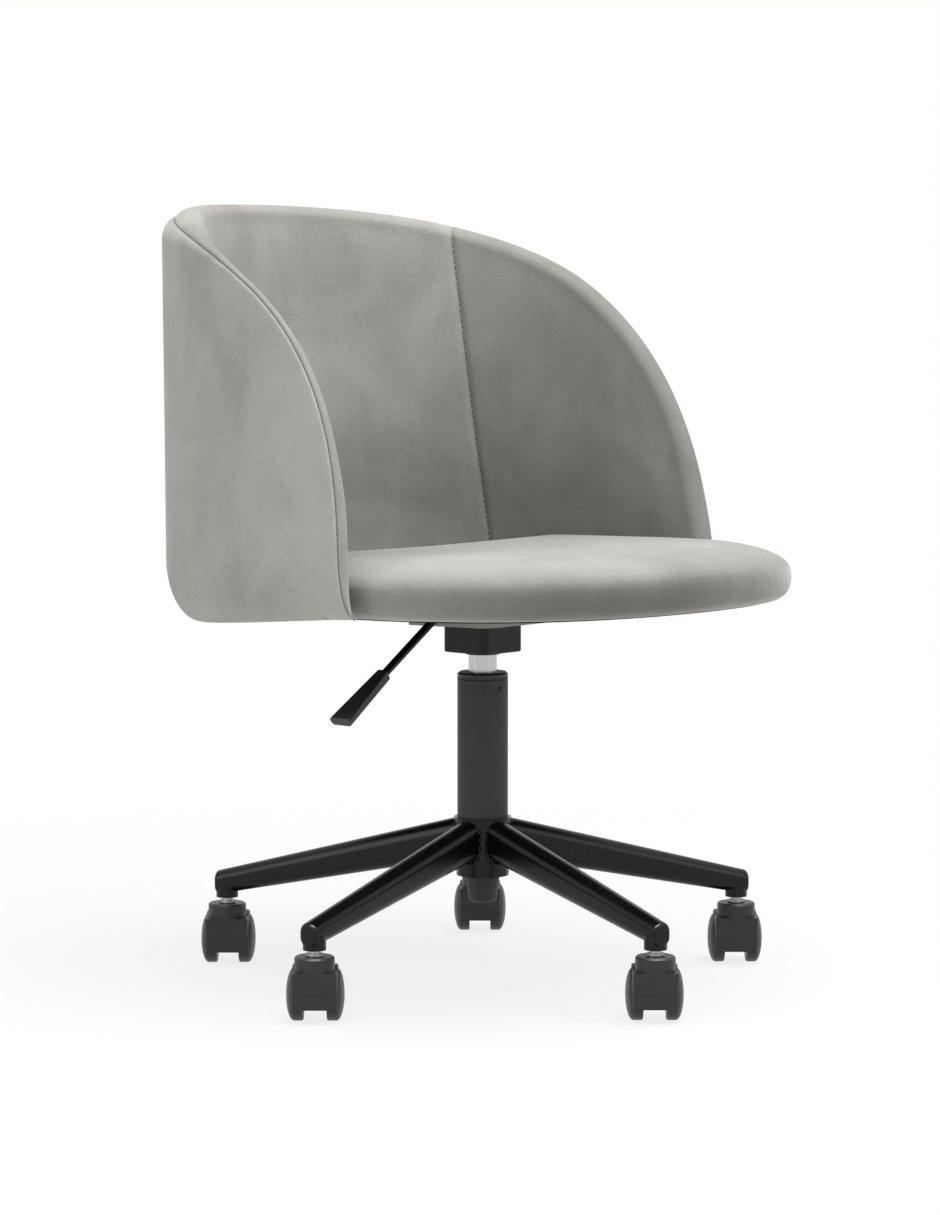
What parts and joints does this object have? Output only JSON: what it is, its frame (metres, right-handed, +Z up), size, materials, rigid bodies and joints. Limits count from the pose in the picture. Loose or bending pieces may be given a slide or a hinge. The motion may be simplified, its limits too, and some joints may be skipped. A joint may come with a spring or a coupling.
{
  "type": "swivel office chair",
  "caption": "Upholstered tub office chair: wrap-round velvet back and round seat on a gas-lift column, swivelling over a star base with twin-wheel casters.",
  "frame": {"origin": "on the floor, on the column's axis", "axes": "+Z up along the column, -Y the way the sitter faces, -X the sitter's right with the height lever"},
  "size_m": [0.5779, 0.6557, 0.7654],
  "materials": {
    "velvet": "grey short-pile velvet",
    "dust_cloth": "black nonwoven",
    "plywood": "raw plywood",
    "black_steel": "semi-gloss black paint",
    "grey_steel": "grey powder coat",
    "chrome": "polished",
    "zinc": "zinc plated",
    "nylon": "dark grey moulded nylon",
    "black_plastic": "black moulded plastic"
  },
  "bodies": {
    "base": {"base_hub": "black_steel", "base_arm_1": "black_steel", "base_arm_2": "black_steel", "base_arm_3": "black_steel", "base_arm_4": "black_steel", "base_arm_5": "black_steel", "socket_inserts": "black_plastic", "caster_stem_1": "zinc", "caster_stem_2": "zinc", "caster_stem_3": "zinc", "caster_stem_4": "zinc", "caster_stem_5": "zinc", "column_tube": "black_steel", "guide_bush": "black_plastic", "bearing_lower_race": "zinc", "bearing_balls": "zinc"},
    "gas_rod": {"piston_rod": "chrome", "piston": "zinc", "bearing_upper_race": "zinc", "rod_clip": "zinc"},
    "seat": {"gas_cylinder": "chrome", "mechanism_housing": "black_steel", "mechanism_plate": "grey_steel", "lever_pin": "zinc", "plate_bolts": "zinc", "tee_nuts": "zinc", "seat_board": "plywood", "dust_cover": "dust_cloth", "seat_cushion": "velvet", "back_brackets": "zinc", "bracket_screws": "zinc", "back_frame": "plywood", "back_cover": "velvet", "back_pad_left": "velvet", "back_pad_centre": "velvet", "back_pad_right": "velvet"},
    "lever": {"lever_rod": "black_steel", "lever_paddle": "black_plastic"},
    "release_pin": {"release_pin": "zinc"},
    "caster_1": {"caster_hood_1": "nylon", "caster_axle_1": "zinc"},
    "caster_wheel_left_1": {"caster_wheel_left_1": "nylon"},
    "caster_wheel_right_1": {"caster_wheel_right_1": "nylon"},
    "caster_2": {"caster_hood_2": "nylon", "caster_axle_2": "zinc"},
    "caster_wheel_left_2": {"caster_wheel_left_2": "nylon"},
    "caster_wheel_right_2": {"caster_wheel_right_2": "nylon"},
    "caster_3": {"caster_hood_3": "nylon", "caster_axle_3": "zinc"},
    "caster_wheel_left_3": {"caster_wheel_left_3": "nylon"},
    "caster_wheel_right_3": {"caster_wheel_right_3": "nylon"},
    "caster_4": {"caster_hood_4": "nylon", "caster_axle_4": "zinc"},
    "caster_wheel_left_4": {"caster_wheel_left_4": "nylon"},
    "caster_wheel_right_4": {"caster_wheel_right_4": "nylon"},
    "caster_5": {"caster_hood_5": "nylon", "caster_axle_5": "zinc"},
    "caster_wheel_left_5": {"caster_wheel_left_5": "nylon"},
    "caster_wheel_right_5": {"caster_wheel_right_5": "nylon"}
  },
  "joints": [
    {"name": "seat_swivel", "type": "hinge", "parent": "base", "child": "gas_rod", "pos_m": [0, 0, 0.12], "axis": [0, 0, 1], "continuous": true},
    {"name": "seat_height", "type": "slide", "parent": "gas_rod", "child": "seat", "axis": [0, 0, 1], "range_m": [-0.015, 0.085]},
    {"name": "lever_pull", "type": "hinge", "parent": "seat", "child": "lever", "pos_m": [-0.03, 0, 0.36515], "axis": [0, 1, 0], "range_deg": [0, 6], "stiffness_Nm_per_rad": 4},
    {"name": "pin_press", "type": "slide", "parent": "seat", "child": "release_pin", "axis": [0, 0, 1], "range_m": [-0.0045, 0]},
    {"name": "caster_swivel_1", "type": "hinge", "parent": "base", "child": "caster_1", "pos_m": [0.1998, 0.18308, 0.05], "axis": [0, 0, 1], "continuous": true},
    {"name": "wheel_spin_left_1", "type": "hinge", "parent": "caster_1", "child": "caster_wheel_left_1", "pos_m": [0.21242, 0.19448, 0.025], "axis": [0.6704, -0.742, 0], "continuous": true},
    {"name": "wheel_spin_right_1", "type": "hinge", "parent": "caster_1", "child": "caster_wheel_right_1", "pos_m": [0.21242, 0.19448, 0.025], "axis": [0.6704, -0.742, 0], "continuous": true},
    {"name": "caster_swivel_2", "type": "hinge", "parent": "base", "child": "caster_2", "pos_m": [-0.11238, 0.2466, 0.05], "axis": [0, 0, 1], "continuous": true},
    {"name": "wheel_spin_left_2", "type": "hinge", "parent": "caster_2", "child": "caster_wheel_left_2", "pos_m": [-0.09977, 0.258, 0.025], "axis": [0.6704, -0.742, 0], "continuous": true},
    {"name": "wheel_spin_right_2", "type": "hinge", "parent": "caster_2", "child": "caster_wheel_right_2", "pos_m": [-0.09977, 0.258, 0.025], "axis": [0.6704, -0.742, 0], "continuous": true},
    {"name": "caster_swivel_3", "type": "hinge", "parent": "base", "child": "caster_3", "pos_m": [-0.26926, -0.03068, 0.05], "axis": [0, 0, 1], "continuous": true},
    {"name": "wheel_spin_left_3", "type": "hinge", "parent": "caster_3", "child": "caster_wheel_left_3", "pos_m": [-0.25664, -0.01928, 0.025], "axis": [0.6704, -0.742, 0], "continuous": true},
    {"name": "wheel_spin_right_3", "type": "hinge", "parent": "caster_3", "child": "caster_wheel_right_3", "pos_m": [-0.25664, -0.01928, 0.025], "axis": [0.6704, -0.742, 0], "continuous": true},
    {"name": "caster_swivel_4", "type": "hinge", "parent": "base", "child": "caster_4", "pos_m": [-0.05403, -0.26556, 0.05], "axis": [0, 0, 1], "continuous": true},
    {"name": "wheel_spin_left_4", "type": "hinge", "parent": "caster_4", "child": "caster_wheel_left_4", "pos_m": [-0.04142, -0.25416, 0.025], "axis": [0.6704, -0.742, 0], "continuous": true},
    {"name": "wheel_spin_right_4", "type": "hinge", "parent": "caster_4", "child": "caster_wheel_right_4", "pos_m": [-0.04142, -0.25416, 0.025], "axis": [0.6704, -0.742, 0], "continuous": true},
    {"name": "caster_swivel_5", "type": "hinge", "parent": "base", "child": "caster_5", "pos_m": [0.23587, -0.13345, 0.05], "axis": [0, 0, 1], "continuous": true},
    {"name": "wheel_spin_left_5", "type": "hinge", "parent": "caster_5", "child": "caster_wheel_left_5", "pos_m": [0.24848, -0.12205, 0.025], "axis": [0.6704, -0.742, 0], "continuous": true},
    {"name": "wheel_spin_right_5", "type": "hinge", "parent": "caster_5", "child": "caster_wheel_right_5", "pos_m": [0.24848, -0.12205, 0.025], "axis": [0.6704, -0.742, 0], "continuous": true}
  ],
  "couplings": [
    {"joint": "pin_press", "follows": "lever_pull", "m_per_rad": -0.0345}
  ]
}
